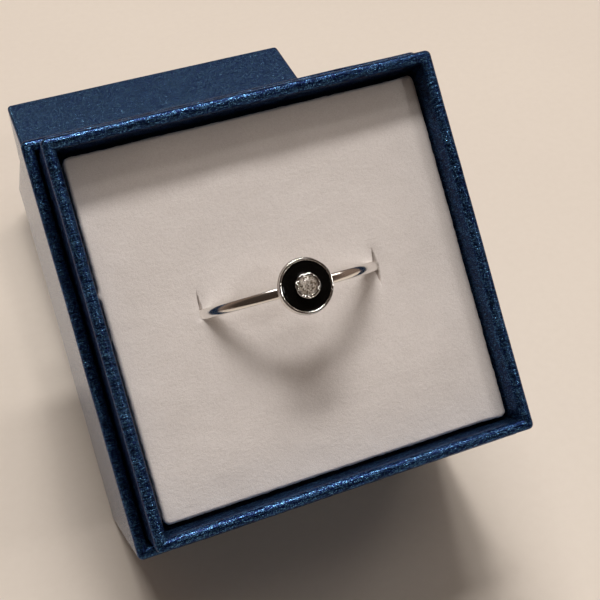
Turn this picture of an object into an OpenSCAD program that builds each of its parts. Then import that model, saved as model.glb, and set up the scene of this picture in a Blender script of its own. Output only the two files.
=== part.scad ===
// Slim ring with one small round stone, standing in its open gift box.
// The ring stands in the foam pad of the base, the lid is off and lies with its
// opening down, and the base leans back on the lid's near edge.
// Millimetres. X runs to the right, Y away from the viewer and Z up.

/* [Box] */
// Outer width and depth of the base and of the lid
box_w = 40.5; // [38:0.5:44]
// Thickness of the paper-covered board
board_t = 1.15; // [1:0.05:1.4]
// Height of the base's outer shell
shell_h = 26.6; // [24:0.2:30]
// Height of collar that shows above the shell
collar_rise = 6.4; // [4:0.2:8]
// Height of the lid
lid_h = 18.5; // [16:0.5:22]
// Angle that the base leans back
lean_deg = 44; // [38:1:50]
// Distance that the lid lies to the right of the base
lid_side = 2.8; // [0:0.2:4]

/* [Pad] */
// Depth of the pad's face below the collar's rim
pad_drop = 2.8; // [2.4:0.1:3.6]
// Width of the slits that the ring stands in
slit_w = 0.5; // [0.3:0.1:0.8]
// Length of the two cross slits
slit_l = 3.6; // [3:0.2:5]

/* [Ring] */
// Inner diameter of the band
ring_d = 18.8; // [17:0.2:20]
// Width of the band along the finger
band_w = 1; // [0.8:0.1:1.4]
// Thickness of the band
band_t = 1; // [0.8:0.1:1.3]
// Height of the band's centre line above the pad, at its top
arch_h = 4.2; // [3.8:0.2:5]
// Distance of the ring from the pad's middle, up the slope
ring_back = 0.3; // [0:0.1:1]

/* [Head] */
// Outer diameter of the round head
head_d = 5.1; // [4.6:0.1:6]
// Height of the head's side wall
cup_h = 0.95; // [0.8:0.05:1.2]
// Thickness of the head's metal rim
rim_t = 0.25; // [0.15:0.05:0.3]
// Outer diameter of the collet that holds the stone
collet_d = 2.3; // [2.2:0.05:2.6]
// Height that the collet stands above the head's rim
collet_rise = 0.55; // [0.45:0.05:0.7]
// Diameter of the stone at its girdle
stone_d = 1.95; // [1.8:0.05:2]

/* [Hidden] */
$fn = 72;

// Clearance between shell and collar, round the pad, under both, and in the ring
box_gap = 0.2;
pad_gap = 0.4;
seat_gap = 0.1;
set_gap = 0.02;

// Radius of the board's rounded corners and rims
board_r = board_t / 2;

// Outer height of the base, from its bottom to the collar's rim
base_h = shell_h + collar_rise;
collar_w = box_w - 2 * board_t - 2 * box_gap;
pad_w = collar_w - 2 * board_t - 2 * pad_gap;
pad_low = board_t + seat_gap;
pad_top = base_h - pad_drop;

// The band's outer radius, and the ring centre's height in the base
ring_out = ring_d / 2 + band_t;
ring_mid = ring_d / 2 + band_t / 2;
ring_z = pad_top + arch_h - ring_mid;
// Half the width of the band's outline where it meets the pad's face
foot_x = sqrt(pow(ring_out, 2) - pow(pad_top - ring_z, 2));

// Heights in the head, from its underside, which sinks a little over the band
head_sink = 0.35;
cup_floor = 0.45;
enamel_top = cup_h - 0.05;
collet_top = cup_h + collet_rise;
// The small pit that the stone's point reaches into
pit_r = 0.3;
pit_floor = 0.25;
bevel = 0.04;

// Proportions of the round brilliant cut, as shares of the stone's radius
table_r = 0.57 * stone_d / 2;
girdle_t = 0.03 * stone_d;
crown_deg = 34.5;
pavilion_deg = 41;
crown_h = (stone_d / 2 - table_r) * tan(crown_deg);
pavilion_h = stone_d / 2 * tan(pavilion_deg);
// The collet's lip reaches this far in over the stone's crown
lip_r = stone_d / 2 - 0.08;
pocket_r = stone_d / 2 + set_gap;
seat_r = stone_d / 2 - 0.25;
lip_t = 0.12;
// The facets next to the girdle are steeper than the kites and the mains
lip_climb = (stone_d / 2 - lip_r) * tan(crown_deg + 12);
seat_drop = (pocket_r - seat_r) * tan(pavilion_deg + 4);
// Height of the girdle's upper edge, so that the lip ends at the collet's top
girdle_z = collet_top - lip_t - set_gap - lip_climb;

// Where the lid and the base lie, so that the whole part is centred over the origin
lid_near = (lid_h * cos(lean_deg) + seat_gap) / sin(lean_deg);
base_near = (box_w / 2 - collar_w / 2 + board_r) * cos(lean_deg)
    - (base_h - board_r) * sin(lean_deg) - board_r;
move_x = -lid_side / 2;
move_y = -(lid_near + box_w + base_near) / 2;

// A square outline with rounded corners
module rounded_square(w, r) {
    square([w, w - 2 * r], center = true);
    square([w - 2 * r, w], center = true);
    for (x = [-1, 1], y = [-1, 1]) {
        translate([x * (w / 2 - r), y * (w / 2 - r)]) circle(r);
    }
}

// Four board walls with rounded outer corners
module board_walls(w, h) {
    difference() {
        linear_extrude(h) rounded_square(w, board_r);
        translate([0, 0, -1]) linear_extrude(h + 2) square(w - 2 * board_t, center = true);
    }
}

// The round rim along the top of four walls
module round_rim(w, h) {
    side = w / 2 - board_r;
    for (a = [0, 90, 180, 270]) {
        rotate(a) translate([-side, -side, h - board_r]) {
            sphere(board_r);
            rotate([0, 90, 0]) cylinder(r = board_r, h = 2 * side);
        }
    }
}

// Puts what is built upright round the Z axis into the leaning base
module in_base() {
    translate([move_x, move_y, 0]) rotate([lean_deg, 0, 0]) translate([0, box_w / 2, 0]) children();
}

// Moves what is built upright over the pad's middle to where the ring stands
module at_ring() {
    translate([0, ring_back, 0]) children();
}

// Puts what is built round the ring's head, from its underside up, onto the ring
module on_head() {
    in_base() at_ring() translate([0, 0, ring_z + ring_out - head_sink]) children();
}

// Turns what is built round the finger's axis upright in the base
module round_finger() {
    at_ring() translate([0, 0, ring_z]) rotate([90, 0, 0]) children();
}

// Half-round section of the band, flat towards the finger
module band_section() {
    translate([ring_d / 2, -band_w / 2]) square([band_t - band_w / 2, band_w]);
    translate([ring_d / 2 + band_t - band_w / 2, 0]) circle(band_w / 2);
}

// Section of the head: a flat cup, and the collet that stands in its middle
module head_section() {
    head_r = head_d / 2;
    collet_r = collet_d / 2;
    polygon([
        [0, 0],
        [head_r - 0.3, 0],
        [head_r, 0.3],
        [head_r, cup_h - bevel],
        [head_r - bevel, cup_h],
        [head_r - rim_t + bevel, cup_h],
        [head_r - rim_t, cup_h - bevel],
        [head_r - rim_t, cup_floor],
        [collet_r, cup_floor],
        [collet_r, collet_top - bevel],
        [collet_r - bevel, collet_top],
        [lip_r, collet_top],
        [lip_r, collet_top - lip_t],
        [pocket_r, girdle_z + set_gap],
        [pocket_r, girdle_z - girdle_t - set_gap],
        [seat_r, girdle_z - girdle_t - set_gap - seat_drop],
        [seat_r, cup_floor],
        [pit_r, cup_floor],
        [pit_r, pit_floor],
        [0, pit_floor]
    ]);
}

// One ring of points at a radius and a height
function points_round(n, r, z, turn = 0) = [
    for (i = [0 : n - 1]) [r * cos(turn + i * 360 / n), r * sin(turn + i * 360 / n), z]
];

// A round brilliant: table, star, kite and girdle facets above, main and lower
// girdle facets below, round the Z axis with the girdle's upper edge at height 0
module brilliant() {
    r = stone_d / 2;
    // The star facets' outer points lie on the kites' planes, half-way out
    star_r = (table_r * cos(22.5) + r) / 2;
    star_z = crown_h - (star_r * cos(22.5) - table_r) * crown_h / (r - table_r);
    // The lower girdle facets' inner points lie on the mains' planes
    low_r = 0.22 * r;
    low_z = -girdle_t - pavilion_h + low_r * cos(22.5) * pavilion_h / r;
    points = concat(
        points_round(8, table_r, crown_h),
        points_round(8, star_r, star_z, 22.5),
        points_round(16, r, 0),
        points_round(16, r, -girdle_t),
        points_round(8, low_r, low_z, 22.5),
        [[0, 0, -girdle_t - pavilion_h]]
    );
    // First index of each ring of points
    star = 8;
    upper = 16;
    lower = 32;
    low = 48;
    culet = 56;
    faces = concat(
        [[for (i = [7 : -1 : 0]) i]],
        [for (i = [0 : 7]) [i, (i + 1) % 8, star + i]],
        [for (i = [0 : 7]) [i, star + i, upper + 2 * i, star + (i + 7) % 8]],
        [for (i = [0 : 7]) [star + i, upper + 2 * i + 1, upper + 2 * i]],
        [for (i = [0 : 7]) [star + i, upper + (2 * i + 2) % 16, upper + 2 * i + 1]],
        [for (i = [0 : 15]) [upper + i, upper + (i + 1) % 16, lower + (i + 1) % 16, lower + i]],
        [for (i = [0 : 7]) [low + i, lower + 2 * i, lower + 2 * i + 1]],
        [for (i = [0 : 7]) [low + i, lower + 2 * i + 1, lower + (2 * i + 2) % 16]],
        [for (i = [0 : 7]) [culet, low + (i + 7) % 8, lower + 2 * i, low + i]]
    );
    polyhedron(points, faces);
}

module base_shell() {
    color("midnightblue") in_base() {
        linear_extrude(board_t) rounded_square(box_w, board_r);
        board_walls(box_w, shell_h - board_r);
        round_rim(box_w, shell_h);
    }
}

module collar() {
    low = board_t + seat_gap;
    color("steelblue") in_base() translate([0, 0, low]) {
        board_walls(collar_w, base_h - low - board_r);
        round_rim(collar_w, base_h - low);
    }
}

module foam_pad() {
    color("linen") in_base() difference() {
        translate([0, 0, pad_low]) linear_extrude(pad_top - pad_low) rounded_square(pad_w, 1);
        // the way that the band takes through the foam
        round_finger() rotate_extrude() {
            translate([ring_d / 2 - seat_gap, -band_w / 2 - seat_gap])
                square([band_t + 2 * seat_gap, band_w + 2 * seat_gap]);
        }
        // the long slit under the ring, and the two cross slits at its ends
        at_ring() {
            translate([-foot_x, -slit_w / 4, ring_z - ring_out]) cube([2 * foot_x, slit_w / 2, base_h]);
            for (x = [-foot_x, foot_x]) {
                translate([x - slit_w / 2, -slit_l / 2, pad_top - ring_d / 2]) cube([slit_w, slit_l, base_h]);
            }
        }
    }
}

module ring_band_and_head() {
    color("silver") {
        in_base() round_finger() rotate_extrude() band_section();
        on_head() rotate_extrude() head_section();
    }
}

module enamel() {
    color("black") on_head() translate([0, 0, cup_floor + set_gap]) difference() {
        cylinder(d = head_d - 2 * rim_t - 2 * set_gap, h = enamel_top - cup_floor - set_gap);
        translate([0, 0, -1]) cylinder(d = collet_d + 2 * set_gap, h = cup_h + 2);
    }
}

module stone() {
    color("white") on_head() translate([0, 0, girdle_z]) brilliant();
}

module lid() {
    color("midnightblue") translate([move_x + lid_side, move_y + lid_near + box_w / 2, 0]) {
        board_walls(box_w, lid_h);
        translate([0, 0, lid_h - board_t]) linear_extrude(board_t) rounded_square(box_w, board_r);
    }
}

base_shell();
collar();
foam_pad();
ring_band_and_head();
enamel();
stone();
lid();
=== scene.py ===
import math

import bmesh
import bpy
from mathutils import Matrix, Vector, noise


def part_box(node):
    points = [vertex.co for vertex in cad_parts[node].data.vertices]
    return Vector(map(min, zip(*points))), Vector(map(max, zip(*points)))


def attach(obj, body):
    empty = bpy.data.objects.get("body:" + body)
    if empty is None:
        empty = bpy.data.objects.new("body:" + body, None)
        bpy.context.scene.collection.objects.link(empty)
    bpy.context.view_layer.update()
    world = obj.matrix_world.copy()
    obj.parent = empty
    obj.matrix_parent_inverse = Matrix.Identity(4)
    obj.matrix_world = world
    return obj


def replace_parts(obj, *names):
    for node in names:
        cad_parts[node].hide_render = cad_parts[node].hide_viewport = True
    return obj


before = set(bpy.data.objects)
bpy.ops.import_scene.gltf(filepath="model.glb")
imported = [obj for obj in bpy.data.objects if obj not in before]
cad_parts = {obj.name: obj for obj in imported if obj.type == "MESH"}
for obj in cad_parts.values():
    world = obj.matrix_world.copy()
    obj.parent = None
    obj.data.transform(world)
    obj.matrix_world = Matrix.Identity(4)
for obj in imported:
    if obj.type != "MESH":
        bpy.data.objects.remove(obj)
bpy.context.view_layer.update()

MM = 0.001

# Sizes in millimetres, with the same names and values as in the part's source
BOARD_T = 1.15
SHELL_H = 26.6
COLLAR_RISE = 6.4
PAD_DROP = 2.8
RING_D = 18.8
BAND_W = 1.0
BAND_T = 1.0
ARCH_H = 4.2
RING_BACK = 0.3
HEAD_D = 5.1
CUP_H = 0.95
RIM_T = 0.25
COLLET_D = 2.3
COLLET_RISE = 0.55
STONE_D = 1.95
BOX_GAP = 0.2
PAD_GAP = 0.4
SEAT_GAP = 0.1
SET_GAP = 0.02
HEAD_SINK = 0.35
CUP_FLOOR = 0.45

# How far the base leans back on the lid
LEAN = math.radians(44)

# Sizes that follow from them
BOARD_R = BOARD_T / 2
BASE_H = SHELL_H + COLLAR_RISE
PAD_TOP = BASE_H - PAD_DROP
PAD_LOW = BOARD_T + SEAT_GAP
RING_MID = RING_D / 2 + BAND_T / 2
RING_OUT = RING_D / 2 + BAND_T
RING_Z = PAD_TOP + ARCH_H - RING_MID
FOOT_X = math.sqrt(RING_OUT ** 2 - (PAD_TOP - RING_Z) ** 2)
HEAD_LOW = RING_Z + RING_OUT - HEAD_SINK
COLLET_TOP = CUP_H + COLLET_RISE

# The lid and the base shell say where the two halves of the box lie
lid_low, lid_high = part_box("lid")
shell_low, shell_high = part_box("base_shell")
BOX_W = (lid_high.x - lid_low.x) / MM
LID_H = (lid_high.z - lid_low.z) / MM
COLLAR_W = BOX_W - 2 * BOARD_T - 2 * BOX_GAP
PAD_W = COLLAR_W - 2 * BOARD_T - 2 * PAD_GAP
lid_near = (LID_H * math.cos(LEAN) + SEAT_GAP) / math.sin(LEAN)
move_x = (shell_low.x + shell_high.x) / 2
move_y = lid_low.y - lid_near * MM

IN_BASE = (
    Matrix.Translation((move_x, move_y, 0))
    @ Matrix.Rotation(LEAN, 4, "X")
    @ Matrix.Translation((0, BOX_W * MM / 2, 0))
    @ Matrix.Scale(MM, 4)
)
IN_LID = (
    Matrix.Translation(((lid_low.x + lid_high.x) / 2, (lid_low.y + lid_high.y) / 2, 0))
    @ Matrix.Scale(MM, 4)
)


def wave(x, y, z, size, seed):
    """Smooth noise from -1 to 1, with lumps about this many millimetres across."""
    return noise.noise(Vector((x / size + seed, y / size - seed, z / size + 2 * seed)))


def make_piece(name, points, faces, place, material):
    """A new smooth piece from points in millimetres, put in place and given its material."""
    same_place = 1e-9
    mesh = bpy.data.meshes.new(name)
    mesh.from_pydata([place @ Vector(p) for p in points], [], faces)
    mesh.validate()
    build = bmesh.new()
    build.from_mesh(mesh)
    bmesh.ops.remove_doubles(build, verts=build.verts, dist=same_place)
    bmesh.ops.recalc_face_normals(build, faces=build.faces)
    build.to_mesh(mesh)
    build.free()
    mesh.materials.append(material)
    mesh.polygons.foreach_set("use_smooth", [True] * len(mesh.polygons))
    mesh.update()
    piece = bpy.data.objects.new(name, mesh)
    bpy.context.scene.collection.objects.link(piece)
    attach(piece, "root")
    return piece


def joined(points, faces, more, more_faces):
    """Two sets of points and faces as one."""
    first = len(points)
    return points + more, faces + [tuple(first + i for i in face) for face in more_faces]


def square_loop(half, radius, z):
    """Points round a square with rounded corners, starting at the near right corner."""
    side_steps = 30
    corner_steps = 6
    loop = []
    centre = half - radius
    for quarter in range(4):
        turn = math.radians(90 * quarter - 90)
        corner = (
            centre * (math.cos(turn) - math.sin(turn)),
            centre * (math.sin(turn) + math.cos(turn)),
        )
        for i in range(corner_steps + 1):
            a = turn + math.radians(90 * i / corner_steps)
            loop.append((corner[0] + radius * math.cos(a), corner[1] + radius * math.sin(a), z))
        after = turn + math.radians(90)
        start = (corner[0] + radius * math.cos(after), corner[1] + radius * math.sin(after))
        along = (math.cos(after + math.radians(90)), math.sin(after + math.radians(90)))
        for i in range(1, side_steps):
            t = 2 * centre * i / side_steps
            loop.append((start[0] + along[0] * t, start[1] + along[1] * t, z))
    return loop


def loft(loops, closed=False, caps=(True, True)):
    """Points and faces of a skin over equal loops of points."""
    n = len(loops[0])
    points = [p for loop in loops for p in loop]
    faces = []
    count = len(loops)
    for k in range(count if closed else count - 1):
        a = k * n
        b = ((k + 1) % count) * n
        for i in range(n):
            j = (i + 1) % n
            faces.append((a + i, a + j, b + j, b + i))
    if not closed:
        if caps[0]:
            faces.append(tuple(range(n - 1, -1, -1)))
        if caps[1]:
            faces.append(tuple(range((count - 1) * n, count * n)))
    return points, faces


def revolve(profile, steps):
    """Points and faces of a closed profile turned round the Z axis."""
    points = []
    faces = []
    n = len(profile)
    for i in range(steps):
        a = 2 * math.pi * i / steps
        for r, z in profile:
            points.append((r * math.cos(a), r * math.sin(a), z))
    for i in range(steps):
        a = i * n
        b = ((i + 1) % steps) * n
        for k in range(n):
            m = (k + 1) % n
            faces.append((a + k, a + m, b + m, b + k))
    return points, faces


def arc(centre, radius, start, end, steps):
    """Points on a circle's arc in the plane of a profile, by angles in degrees."""
    made = []
    for i in range(steps + 1):
        a = math.radians(start + (end - start) * i / steps)
        made.append((centre[0] + radius * math.cos(a), centre[1] + radius * math.sin(a)))
    return made


def soften(corners, radius):
    """A closed profile with each corner rounded by a radius, or by as much as fits."""
    steps = 4
    most = 0.45
    made = []
    n = len(corners)
    for i in range(n):
        before = Vector(corners[i - 1])
        here = Vector(corners[i])
        after = Vector(corners[(i + 1) % n])
        back = before - here
        ahead = after - here
        reach = min(radius, back.length * most, ahead.length * most)
        first = here + back.normalized() * reach
        last = here + ahead.normalized() * reach
        for k in range(steps + 1):
            t = k / steps
            made.append(tuple(first * (1 - t) ** 2 + here * 2 * t * (1 - t) + last * t ** 2))
    return made


class Paint:
    """A material whose node tree is built with few words."""

    def __init__(self, name, **shader):
        self.material = bpy.data.materials.new(name)
        self.material.use_nodes = True
        self.tree = self.material.node_tree
        self.shader = self.tree.nodes["Principled BSDF"]
        self.place = self.node("TexCoord").outputs["Object"]
        self.set(**shader)

    def set(self, **sockets):
        """Sets or links sockets of the shader, with _ for the spaces in their names."""
        for key, value in sockets.items():
            self.feed(self.shader.inputs[key.replace("_", " ")], value)

    def feed(self, socket, value):
        """Links a socket to another one, or sets it to a plain value."""
        if isinstance(value, bpy.types.NodeSocket):
            self.tree.links.new(value, socket)
        else:
            socket.default_value = value

    def node(self, kind, inputs=None, **settings):
        made = self.tree.nodes.new("ShaderNode" + kind)
        for key, value in settings.items():
            setattr(made, key, value)
        for key, value in (inputs or {}).items():
            self.feed(made.inputs[key], value)
        return made

    def turned(self, vector, angles):
        """A vector turned by angles in radians."""
        return self.node("Mapping", {"Vector": vector, "Rotation": angles}).outputs[0]

    def stretched(self, vector, scale):
        return self.node("Mapping", {"Vector": vector, "Scale": scale}).outputs[0]

    def noise(self, size_mm, detail, rough, vector=None):
        inputs = {
            "Vector": vector or self.place,
            "Scale": 1 / (size_mm * MM),
            "Detail": detail,
            "Roughness": rough,
        }
        return self.node("TexNoise", inputs).outputs["Fac"]

    def cells(self, size_mm):
        """Each cell's distance field."""
        inputs = {"Vector": self.place, "Scale": 1 / (size_mm * MM)}
        return self.node("TexVoronoi", inputs).outputs["Distance"]

    def flakes(self, size_mm):
        """One random number for each cell."""
        inputs = {"Vector": self.place, "Scale": 1 / (size_mm * MM)}
        colour = self.node("TexVoronoi", inputs).outputs["Color"]
        return self.node("SeparateColor", {"Color": colour}).outputs[0]

    def levels(self, value, low, high, to_low=0.0, to_high=1.0):
        """A value's range from low to high, spread or squeezed to another range."""
        inputs = {"Value": value, "From Min": low, "From Max": high, "To Min": to_low, "To Max": to_high}
        return self.node("MapRange", inputs).outputs["Result"]

    def work_out(self, kind, a, b=0.0):
        """The result of one arithmetic step."""
        made = self.node("Math", operation=kind)
        self.feed(made.inputs[0], a)
        self.feed(made.inputs[1], b)
        return made.outputs[0]

    def blend(self, share, a, b):
        """A mix of two colours, each a socket or three numbers."""
        made = self.node("MixRGB", {"Fac": share})
        for key, colour in (("Color1", a), ("Color2", b)):
            self.feed(made.inputs[key], (*colour, 1) if isinstance(colour, tuple) else colour)
        return made.outputs["Color"]

    def bump(self, height, depth_mm, strength, normal=None):
        inputs = {"Height": height, "Distance": depth_mm * MM, "Strength": strength}
        if normal:
            inputs["Normal"] = normal
        return self.node("Bump", inputs).outputs["Normal"]


# Dark blue paper with a fine pearl sheen; its ribs run along X and down the side walls
def pearl_paper(name, lean, lift, low, high):
    rib_mm = 0.095
    flake_mm = 0.065
    squeeze = 0.11
    paint = Paint(
        name,
        Metallic=0.8,
        Specular_IOR_Level=0.08,
        Specular_Tint=(0.09, 0.22, 0.46, 1),
        Coat_Weight=1.0,
        Coat_Roughness=0.11,
        Coat_IOR=1.07,
    )
    level = (-lean, 0, 0)
    facing = paint.turned(paint.node("TexCoord").outputs["Normal"], level)
    facing_y = paint.work_out("ABSOLUTE", paint.node("SeparateXYZ", {"Vector": facing}).outputs["Y"])
    # Ribs are long in X everywhere, and long in Z on the walls that face along X
    squeeze_z = paint.levels(paint.work_out("GREATER_THAN", facing_y, 0.3), 0, 1, squeeze, 1)
    at = paint.node("SeparateXYZ", {"Vector": paint.turned(paint.place, level)}).outputs
    squeezed = {
        "X": paint.work_out("MULTIPLY", at["X"], squeeze),
        "Y": at["Y"],
        "Z": paint.work_out("MULTIPLY", at["Z"], squeeze_z),
    }
    rib = paint.noise(rib_mm, 2, 0.6, paint.node("CombineXYZ", squeezed).outputs[0])
    flake = paint.flakes(flake_mm)
    cloud = paint.noise(6, 3, 0.5)
    tones = (
        (0.0007, 0.0025, 0.015),
        (0.0012, 0.0038, 0.022),
        (0.012, 0.025, 0.125),
        (0.24, 0.60, 1.0),
    )
    # Lift scales the tones; above one it is painted light, a lighter copy of the same paper
    tones = [tuple(share * channel for share, channel in zip(lift, tone)) for tone in tones]
    dark = paint.blend(cloud, tones[0], tones[1])
    light = paint.blend(paint.levels(flake, 0.55, 1.0), tones[2], tones[3])
    paint.set(Base_Color=paint.blend(paint.levels(rib, low, high), dark, light))
    paint.set(Roughness=paint.levels(flake, 0, 1, 0.40, 0.24))
    relief = paint.work_out("ADD", paint.work_out("MULTIPLY", flake, 0.3), rib)
    paint.set(Normal=paint.bump(relief, 0.035, 0.9))
    return paint.material


# Short soft flock on foam
def white_flock():
    paint = Paint(
        "white_flock",
        Roughness=0.95,
        Specular_IOR_Level=0.12,
        Sheen_Weight=0.3,
        Sheen_Roughness=0.45,
        Sheen_Tint=(1.0, 0.96, 0.93, 1),
    )
    hair = paint.noise(0.085, 2, 0.6)
    tuft = paint.noise(0.32, 3, 0.6)
    cloud = paint.noise(2.6, 3, 0.55)
    base = paint.blend(paint.levels(cloud, 0.3, 0.7), (0.715, 0.665, 0.627), (0.81, 0.76, 0.725))
    worn = paint.blend(paint.levels(tuft, 0.3, 0.7), (0.70, 0.645, 0.607), base)
    paint.set(Base_Color=paint.blend(paint.levels(hair, 0.25, 0.75), worn, (0.86, 0.808, 0.776)))
    relief = paint.work_out("ADD", paint.work_out("MULTIPLY", hair, 0.6), tuft)
    paint.set(Normal=paint.bump(cloud, 0.06, 0.4, paint.bump(relief, 0.055, 0.7)))
    return paint.material


# Silver with a high polish and the finest of scratches
def polished_silver():
    paint = Paint("polished_silver", Metallic=1.0)
    along = paint.stretched(paint.turned(paint.place, (0.5, 0.3, 0.2)), (1, 14, 14))
    scratch = paint.noise(0.9, 4, 0.7, along)
    film = paint.noise(1.6, 2, 0.5)
    paint.set(Base_Color=paint.blend(film, (0.90, 0.88, 0.85), (0.94, 0.925, 0.90)))
    paint.set(Roughness=paint.levels(scratch, 0.3, 0.7, 0.08, 0.18))
    paint.set(Normal=paint.bump(scratch, 0.002, 0.5))
    return paint.material


# Black glassy enamel
def black_enamel():
    paint = Paint("black_enamel", Specular_IOR_Level=0.14)
    pit = paint.noise(0.35, 2, 0.5)
    paint.set(Base_Color=paint.blend(pit, (0.0015, 0.0013, 0.001), (0.005, 0.0045, 0.004)))
    paint.set(Roughness=paint.levels(pit, 0.3, 0.8, 0.05, 0.12))
    paint.set(Normal=paint.bump(pit, 0.010, 0.5))
    return paint.material


# Clear cut stone whose colour is painted light: small bright cells are painted glints and warm darker
# tones are painted reflections of its facets
def clear_stone():
    paint = Paint("cubic_zirconia", IOR=2.16, Transmission_Weight=0.45)
    # Painted glints: bright cells in the base colour stand in for light reflected by the facets
    painted_glints = paint.flakes(0.13)
    # Painted reflections: warm darker tones stand in for the room seen in the facets
    painted_dark_reflections = paint.blend(paint.noise(0.5, 2, 0.5), (0.13, 0.085, 0.045), (0.28, 0.205, 0.13))
    paint.set(Base_Color=paint.blend(paint.levels(painted_glints, 0.25, 0.75), painted_dark_reflections, (0.94, 0.87, 0.77)))
    paint.set(Roughness=paint.levels(painted_glints, 0, 1, 0.0, 0.03))
    paint.set(Normal=paint.bump(paint.cells(0.15), 0.035, 1.0))
    return paint.material


PAPER = pearl_paper("pearl_paper", LEAN, (1, 1, 1), 0.36, 0.72)
# The lid's copy of the paper is painted lighter and warmer, painted light for how the lamps fall on its
# flat top
LID_PAPER_PAINTED_LIGHTER = pearl_paper("pearl_paper_lid_painted_lighter", 0.0, (1.5, 1.3, 1.15), 0.0, 1.1)
FLOCK = white_flock()
SILVER = polished_silver()
ENAMEL = black_enamel()
STONE = clear_stone()

# Radius of the corners inside the box, where the board's walls meet
INNER_R = 0.06


def wrapped(half, x, y, z, seed):
    """A point of a wall, moved by the slight waves and corner lumps of hand-wrapped paper."""
    corner_reach = 1.2
    corner_lump = 0.035
    tuck = 0.05
    corner = max(0.0, 1 - math.hypot(abs(x) - half, abs(y) - half) / corner_reach)
    sway = 0.045 * wave(x, y, z, 7.0, seed) + 0.018 * wave(x, y, z, 1.6, seed + 3)
    scale = 1 + (sway + corner_lump * corner * corner - tuck) / max(math.hypot(x, y), 1)
    return (x * scale, y * scale, z + 0.5 * sway * (z > 5))


def board_box(name, node, half, low, high, seed, floor=None):
    """Covered board round the base: outer walls, round rim, inner walls and maybe a floor."""
    foot_r = 0.3
    foot_z = low + foot_r
    rim_z = high - BOARD_R
    bottom = low if floor is None else floor
    profile = arc((foot_r, foot_z), foot_r, 270, 180, 5)
    for share in (0.01, 0.04, 0.2, 0.4, 0.6, 0.8, 0.93, 0.98):
        profile.append((0.0, foot_z + (rim_z - foot_z) * share))
    profile += arc((BOARD_R, rim_z), BOARD_R, 180, 0, 14)
    for share in (0.02, 0.07, 0.2, 0.4, 0.6, 0.8, 0.95, 0.99):
        profile.append((BOARD_T, rim_z - (rim_z - bottom) * share))
    loops = []
    for inset, z in profile:
        side = half - inset
        loop = square_loop(side, max(BOARD_R - inset, INNER_R), z)
        loops.append([wrapped(side, *point, seed) for point in loop])
    if floor is None:
        loop = square_loop(half - BOARD_T, INNER_R, low)
        loops.append([wrapped(half, *point, seed) for point in loop])
        points, faces = loft(loops, closed=True)
    else:
        for inset in (BOARD_T + 0.03, BOARD_T + 0.3):
            loops.append(square_loop(half - inset, INNER_R, floor))
        points, faces = loft(loops)
    piece = make_piece(name, points, faces, IN_BASE, PAPER)
    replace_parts(piece, node)


board_box("shell_paper", "base_shell", BOX_W / 2, 0.0, SHELL_H, 1.0, floor=BOARD_T)
board_box("collar_paper", "collar", COLLAR_W / 2, PAD_LOW, BASE_H, 5.0)


def lid_paper():
    """The lid, lying with its opening down: flat top with soft edges, and a hollow."""
    half = BOX_W / 2
    edge_r = 0.42
    bevel = 0.08
    ceiling = LID_H - BOARD_T
    profile = [(BOARD_T - bevel, 0.0), (bevel, 0.0), (0.02, 0.02), (0.0, bevel)]
    for share in (0.02, 0.1, 0.3, 0.5, 0.7, 0.9, 0.98):
        profile.append((0.0, bevel + (LID_H - edge_r - bevel) * share))
    profile += arc((edge_r, LID_H - edge_r), edge_r, 180, 90, 7)
    for inset in (0.7, 1.5, 4.0, 9.0, 15.0):
        profile.append((inset, LID_H))
    outside = []
    for inset, z in profile:
        loop = square_loop(half - inset, max(BOARD_R - inset, INNER_R), z)
        if z > 5:
            loop = [(x, y, z + 0.02 * wave(x, y, z, 5, 9) - 0.01) for x, y, z in loop]
        outside.append(loop)
    inside = [square_loop(half - BOARD_T + bevel, INNER_R, 0.0)]
    for z in (0.02, 0.1, 1.0, 6.0, 12.0, 16.0, ceiling - 0.1, ceiling):
        inside.append(square_loop(half - BOARD_T, INNER_R, z))
    inside.append(square_loop(half - BOARD_T - 0.1, INNER_R, ceiling))
    only_end = (False, True)
    points, faces = joined(*loft(outside, caps=only_end), *loft(inside, caps=only_end))
    return make_piece("lid_paper", points, faces, IN_LID, LID_PAPER_PAINTED_LIGHTER)


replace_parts(lid_paper(), "lid")

# Radii of the pad's upper edge and upright corners
PAD_EDGE_R = 0.42
PAD_CORNER_R = 0.6

# Each cross slit: its X, its two ends and widest place along Y from the band, and its gape
LEFT_SLIT = (-FOOT_X, -0.45, 2.1, -0.05, 0.13)
RIGHT_SLIT = (FOOT_X, -1.95, 1.75, -0.1, 0.24)


def fine_steps(marks, half, fine, coarse, reach):
    """Grid lines from -half to half, close together near the marks."""
    lines = [-half]
    while lines[-1] < half:
        here = lines[-1]
        near = min(min(abs(here - mark), abs(here - mark + coarse)) for mark in marks)
        share = min(1.0, max(0.0, (near - reach) / (4 * reach)))
        lines.append(here + fine + (coarse - fine) * share)
    lines[-1] = half
    if lines[-1] - lines[-2] < fine / 3:
        lines.pop(-2)
    return lines


def slit_dip(x, y, mark, low, high, widest, gape):
    """How deep the flock sinks at a cross slit: sharply where it gapes, softly round it."""
    depth = 0.8
    dent = 0.14
    dent_reach = 0.6
    tail = 0.05
    shift = 0.05
    here = y - RING_BACK
    across = abs(x - mark - math.copysign(shift, mark))
    reach = high - widest if here > widest else widest - low
    along = abs(here - widest) / reach
    dip = dent * math.exp(-(across / dent_reach) ** 2 - (along * 0.9) ** 4)
    if along < 1:
        open_half = tail * (1 - along ** 4) + gape * (1 - along) ** 1.3
        dip += depth * max(0.0, 1 - across / open_half) ** 0.6
    return dip


def pad_dip(x, y):
    """How deep the flock sinks at the cross slits and at the long slit under the band."""
    seam = 0.12
    seam_reach = 0.10
    dent = 0.08
    dent_reach = 0.6
    dip = slit_dip(x, y, *LEFT_SLIT) + slit_dip(x, y, *RIGHT_SLIT)
    if abs(x) < FOOT_X:
        dip += seam * math.exp(-((y - RING_BACK) / seam_reach) ** 2)
        dip += dent * math.exp(-((y - RING_BACK) / dent_reach) ** 2)
    return dip


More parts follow.
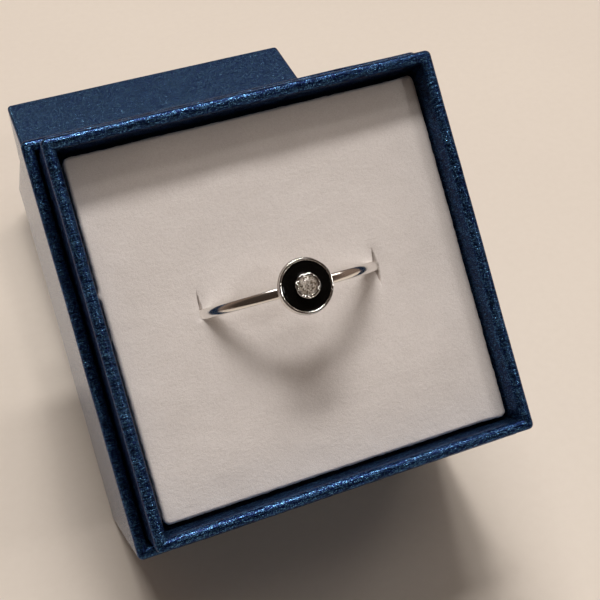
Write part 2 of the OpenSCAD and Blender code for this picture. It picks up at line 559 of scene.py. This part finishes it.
def pad_point(x, y):
    """Where a grid point of the pad's face lies in the base."""
    full_from = 15.5
    tuft_at = 4.3
    tuft_reach = 0.3
    right_sunk = 0.12
    slope = 0.16
    half = PAD_W / 2
    centre = half - PAD_CORNER_R
    a = (abs(x) - centre) / PAD_CORNER_R
    b = (abs(y) - centre) / PAD_CORNER_R
    px = x
    py = y
    # How far out over the round edge the point lies
    if a > 0 and b > 0:
        px = math.copysign(centre + PAD_CORNER_R * a * math.sqrt(1 - b * b / 2), x)
        py = math.copysign(centre + PAD_CORNER_R * b * math.sqrt(1 - a * a / 2), y)
        out = math.hypot(abs(px) - centre, abs(py) - centre) - (PAD_CORNER_R - PAD_EDGE_R)
    else:
        out = max(abs(x), abs(y)) - (half - PAD_EDGE_R)
    out = min(max(out, 0.0), PAD_EDGE_R)
    edge = (out / PAD_EDGE_R) ** 2
    # The pad fills the tray up to the collar at its right edge
    right = min(1.0, max(0.0, x - full_from))
    drop = PAD_EDGE_R - math.sqrt(max(PAD_EDGE_R ** 2 - out ** 2, 0.0))
    drop *= 1 - 0.6 * right
    swell = 0.09 * wave(x, y, 0, 6.0, 2)
    swell += 0.02 * wave(x, y, 0, 1.5, 4)
    swell += 0.008 * wave(x, y, 0, 0.5, 6)
    # The edge is a little ragged, and one tuft sticks out at the left
    ragged = 0.05 * wave(px, py, 0, 0.45, 8) * edge
    tuft = 0.22 * math.exp(-((y - tuft_at) / tuft_reach) ** 2) * edge * (x < 0)
    tuck = 0.08 * (1 - right) * (out / PAD_EDGE_R)
    pull = 1 + (ragged + tuft - tuck) / half
    px += 0.2 * right ** 3
    # The pad lies lower at its left than at its right
    sunk = right_sunk + slope * (1 - px / half)
    return (px * pull, py * pull, PAD_TOP - sunk - drop - pad_dip(x, y) + swell + 0.4 * tuft)


def foam_pad():
    """The flocked foam pad, soft at its edges, with the slits that the ring stands in."""
    inner = PAD_W / 2 - PAD_EDGE_R
    edge_steps = 8
    edge = []
    for i in range(1, edge_steps + 1):
        edge.append(PAD_EDGE_R * math.sin(math.radians(90 * i / edge_steps)))
    first = [-inner - e for e in reversed(edge)]
    last = [inner + e for e in edge]
    xs = first + fine_steps((-FOOT_X, FOOT_X), inner, 0.055, 0.3, 0.45) + last
    ys = first + fine_steps((RING_BACK,), inner, 0.1, 0.3, 0.5) + last
    nx = len(xs)
    ny = len(ys)
    points = [pad_point(x, y) for y in ys for x in xs]
    faces = []
    for j in range(ny - 1):
        for i in range(nx - 1):
            k = j * nx + i
            faces.append((k, k + 1, k + nx + 1, k + nx))
    # The sides go down from the face's outline in a few steps, and the last one is closed
    above = list(range(nx))
    above += [j * nx + nx - 1 for j in range(1, ny)]
    above += [(ny - 1) * nx + i for i in range(nx - 2, -1, -1)]
    above += [j * nx for j in range(ny - 2, 0, -1)]
    outline = [points[k][:2] for k in above]
    count = len(outline)
    for z in (PAD_TOP - 2.5, PAD_TOP - 6, PAD_LOW + 6, PAD_LOW + 0.3, PAD_LOW):
        shrink = 0.995 if z == PAD_LOW else 1.0
        below = list(range(len(points), len(points) + count))
        points += [(x * shrink, y * shrink, z) for x, y in outline]
        for i in range(count):
            j = (i + 1) % count
            faces.append((above[i], below[i], below[j], above[j]))
        above = below
    faces.append(tuple(above))
    pad = make_piece("flocked_pad", points, faces, IN_BASE, FLOCK)
    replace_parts(pad, "foam_pad")


foam_pad()


def band():
    """The low-domed band, swept round the finger's axis."""
    inner_r = 0.10
    shoulder_r = 0.2
    dome_turn = 29
    half = BAND_W / 2
    side = half - shoulder_r
    dome_r = shoulder_r + side / math.sin(math.radians(dome_turn))
    shoulder_x = RING_OUT - dome_r + side / math.tan(math.radians(dome_turn))
    inner_x = RING_D / 2
    section = arc((inner_x + inner_r, -half + inner_r), inner_r, 180, 270, 4)
    section += arc((shoulder_x, -side), shoulder_r, -90, -dome_turn, 6)[:-1]
    section += arc((RING_OUT - dome_r, 0), dome_r, -dome_turn, dome_turn, 16)
    section += arc((shoulder_x, side), shoulder_r, dome_turn, 90, 6)[1:]
    section += arc((inner_x + inner_r, half - inner_r), inner_r, 90, 180, 4)
    section += [(inner_x, half / 2), (inner_x, 0), (inner_x, -half / 2)]
    points, faces = revolve(section, 288)
    return [(x, RING_BACK + z, RING_Z + y) for x, y, z in points], faces


def head():
    """The flat round cup and the collet in its middle, from the head's underside up."""
    head_r = HEAD_D / 2
    collet_r = COLLET_D / 2
    lip_r = STONE_D / 2 - 0.08
    wall_r = head_r + 0.08
    corners = [
        (0.0, 0.0),
        (head_r - 0.3, 0.0),
        (wall_r, 0.3),
        (wall_r, CUP_H - 0.32),
        (head_r - 0.04, CUP_H - 0.2),
        (head_r, CUP_H),
        (head_r - RIM_T, CUP_H),
        (head_r - RIM_T, CUP_FLOOR),
        (collet_r, CUP_FLOOR),
        (collet_r, COLLET_TOP),
        (lip_r, COLLET_TOP - 0.02),
        (lip_r, COLLET_TOP - 0.12),
        (lip_r + 0.04, COLLET_TOP - 0.22),
        (0.72, CUP_FLOOR + 0.2),
        (0.3, CUP_FLOOR),
        (0.0, 0.26),
    ]
    points, faces = revolve(soften(corners, 0.09), 144)
    made = []
    for x, y, z in points:
        r = math.hypot(x, y)
        a = math.atan2(y, x)
        wider = 0.0
        if lip_r - 0.05 < r < collet_r + 0.1 and z > CUP_H:
            # The collet is pressed over the stone by hand, so its lip is a little uneven
            share = min(1.0, (z - CUP_H) / COLLET_RISE)
            beat = 0.028 * math.sin(7 * a + 0.6) + 0.018 * math.sin(11 * a + 2.0)
            z += (beat - 0.03) * share
            wider = 0.4 * beat * share
        elif r > head_r - RIM_T - 0.06 and z > CUP_FLOOR:
            # The cup's rim is slightly wavy, and its inner edge worn at the left
            share = (z - CUP_FLOOR) / (CUP_H - CUP_FLOOR)
            z += (0.012 * math.sin(3 * a + 1) - 0.008) * share
            if z > CUP_H - 0.12 and r < head_r - 0.12:
                left = 0.35 + max(0.0, -math.cos(a + 0.6))
                wider = -0.05 * max(0.0, wave(x, y, 0, 0.16, 7)) * left
        scale = 1 + wider / r if wider else 1
        made.append((x * scale, RING_BACK + y * scale, HEAD_LOW + z))
    return made, faces


def ring_metal():
    """Band and head as the one soldered piece that they are."""
    points, faces = joined(*band(), *head())
    piece = make_piece("ring_metal", points, faces, IN_BASE, SILVER)
    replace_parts(piece, "ring_band_and_head")


ring_metal()


def enamel_fill():
    """The enamel in the cup, drawn up a little where it meets the metal."""
    low = CUP_FLOOR + SET_GAP
    inner = COLLET_D / 2 + SET_GAP
    outer = HEAD_D / 2 - RIM_T - SET_GAP
    top = CUP_H - 0.05
    climb = 0.055
    climb_reach = 0.10
    steps = 20
    profile = [(outer, low), (inner, low)]
    for i in range(steps + 1):
        t = i / steps
        wall = min(t, 1 - t) * (outer - inner)
        z = top - climb + climb * math.exp(-wall / climb_reach)
        profile.append((inner + (outer - inner) * t, z))
    points, faces = revolve(profile, 144)
    made = []
    for x, y, z in points:
        lift = 0.012 * wave(x, y, 0, 0.8, 3) if z > low + 0.1 else 0
        made.append((x, RING_BACK + y, HEAD_LOW + min(z + lift, top)))
    piece = make_piece("enamel_fill", made, faces, IN_BASE, ENAMEL)
    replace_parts(piece, "enamel")


enamel_fill()

# The stone keeps the model's own facets
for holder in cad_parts["stone"].material_slots:
    holder.material = STONE


# Pale floor
def pale_floor():
    paint = Paint("cream_table", Roughness=0.55, Specular_IOR_Level=0.3)
    cloud = paint.noise(60, 3, 0.5)
    grain = paint.noise(1.2, 3, 0.6)
    base = paint.blend(cloud, (0.72, 0.65, 0.57), (0.78, 0.71, 0.62))
    paint.set(Base_Color=paint.blend(paint.levels(grain, 0.2, 0.8, 0.0, 0.25), base, (0.655, 0.58, 0.495)))
    paint.set(Normal=paint.bump(grain, 0.02, 0.3))
    mesh = bpy.data.meshes.new("table")
    reach = 8.0
    corners = [(-reach, -reach, 0), (reach, -reach, 0), (reach, reach, 0), (-reach, reach, 0)]
    mesh.from_pydata(corners, [], [(0, 1, 2, 3)])
    mesh.materials.append(paint.material)
    table = bpy.data.objects.new("table", mesh)
    bpy.context.scene.collection.objects.link(table)


pale_floor()

# Distance of the lamps in metres, and their usual colour
LAMP_FAR = 2.4
LAMP_WHITE = (1.0, 0.96, 0.93)

# A row of ceiling lamps: how far each hangs to the side, and its watts
KEY_LAMPS = ((-0.16, 7.0), (-0.04, 9.8), (0.065, 10.4), (0.16, 8.1), (0.32, 6.7))


# Soft studio light
def disk_light(name, towards, width, watts, colour=LAMP_WHITE):
    data = bpy.data.lights.new(name, "AREA")
    data.shape = "DISK"
    data.size = width
    data.energy = watts
    data.color = colour
    light = bpy.data.objects.new(name, data)
    direction = Vector(towards).normalized()
    light.location = direction * LAMP_FAR
    light.rotation_mode = "QUATERNION"
    light.rotation_quaternion = direction.to_track_quat("Z", "Y")
    bpy.context.scene.collection.objects.link(light)


for number, (side, watts) in enumerate(KEY_LAMPS):
    disk_light("key_%d" % number, (side, 0.275, 0.93), 0.34, watts)
disk_light("second", (0.10, 0.08, 0.99), 0.32, 5.2)
disk_light("above", (0.25, -0.24, 0.94), 0.80, 3.3, (1.0, 0.94, 0.895))
disk_light("right", (0.72, 0.10, 0.68), 0.60, 2.4, (1.0, 0.94, 0.88))
disk_light("near", (0.50, -0.62, 0.60), 0.30, 4.7)


# A dim warm room, with a darker part that is wider than it is high
def room():
    colour = (0.55, 0.385, 0.295, 1)
    bright = 0.33
    dark = 0.07
    dark_towards = (-0.157, -0.672, 0.723)
    widen = (0.6, 1, 1)
    world = bpy.data.worlds.new("room")
    world.use_nodes = True
    tree = world.node_tree
    background = tree.nodes["Background"]
    background.inputs["Color"].default_value = colour
    direction = tree.nodes.new("ShaderNodeTexCoord")
    widened = tree.nodes.new("ShaderNodeVectorMath")
    widened.operation = "MULTIPLY"
    widened.inputs[1].default_value = widen
    unit = tree.nodes.new("ShaderNodeVectorMath")
    unit.operation = "NORMALIZE"
    nearness = tree.nodes.new("ShaderNodeVectorMath")
    nearness.operation = "DOT_PRODUCT"
    nearness.inputs[1].default_value = dark_towards
    dimming = tree.nodes.new("ShaderNodeMapRange")
    dimming.inputs["From Min"].default_value = 0.45
    dimming.inputs["From Max"].default_value = 0.75
    dimming.inputs["To Min"].default_value = bright
    dimming.inputs["To Max"].default_value = dark
    tree.links.new(direction.outputs["Generated"], widened.inputs[0])
    tree.links.new(widened.outputs[0], unit.inputs[0])
    tree.links.new(unit.outputs[0], nearness.inputs[0])
    tree.links.new(nearness.outputs["Value"], dimming.inputs["Value"])
    tree.links.new(dimming.outputs["Result"], background.inputs["Strength"])
    bpy.context.scene.world = world
    bpy.context.scene.view_settings.view_transform = "Standard"


room()


# Camera at the photograph's viewing angle
def photo_camera():
    place = Vector((-27.48, -94.17, 108.54)) * MM
    look = Vector((0.2563, 0.6577, -0.7084))
    roll = math.radians(0.567)
    data = bpy.data.cameras.new("camera")
    data.lens = 66.13
    data.sensor_width = 36
    data.clip_start = 0.005
    camera = bpy.data.objects.new("camera", data)
    camera.location = place
    camera.rotation_mode = "QUATERNION"
    level = look.to_track_quat("-Z", "Y")
    camera.rotation_quaternion = level @ Matrix.Rotation(-roll, 4, "Z").to_quaternion()
    bpy.context.scene.collection.objects.link(camera)
    bpy.context.scene.camera = camera


photo_camera()
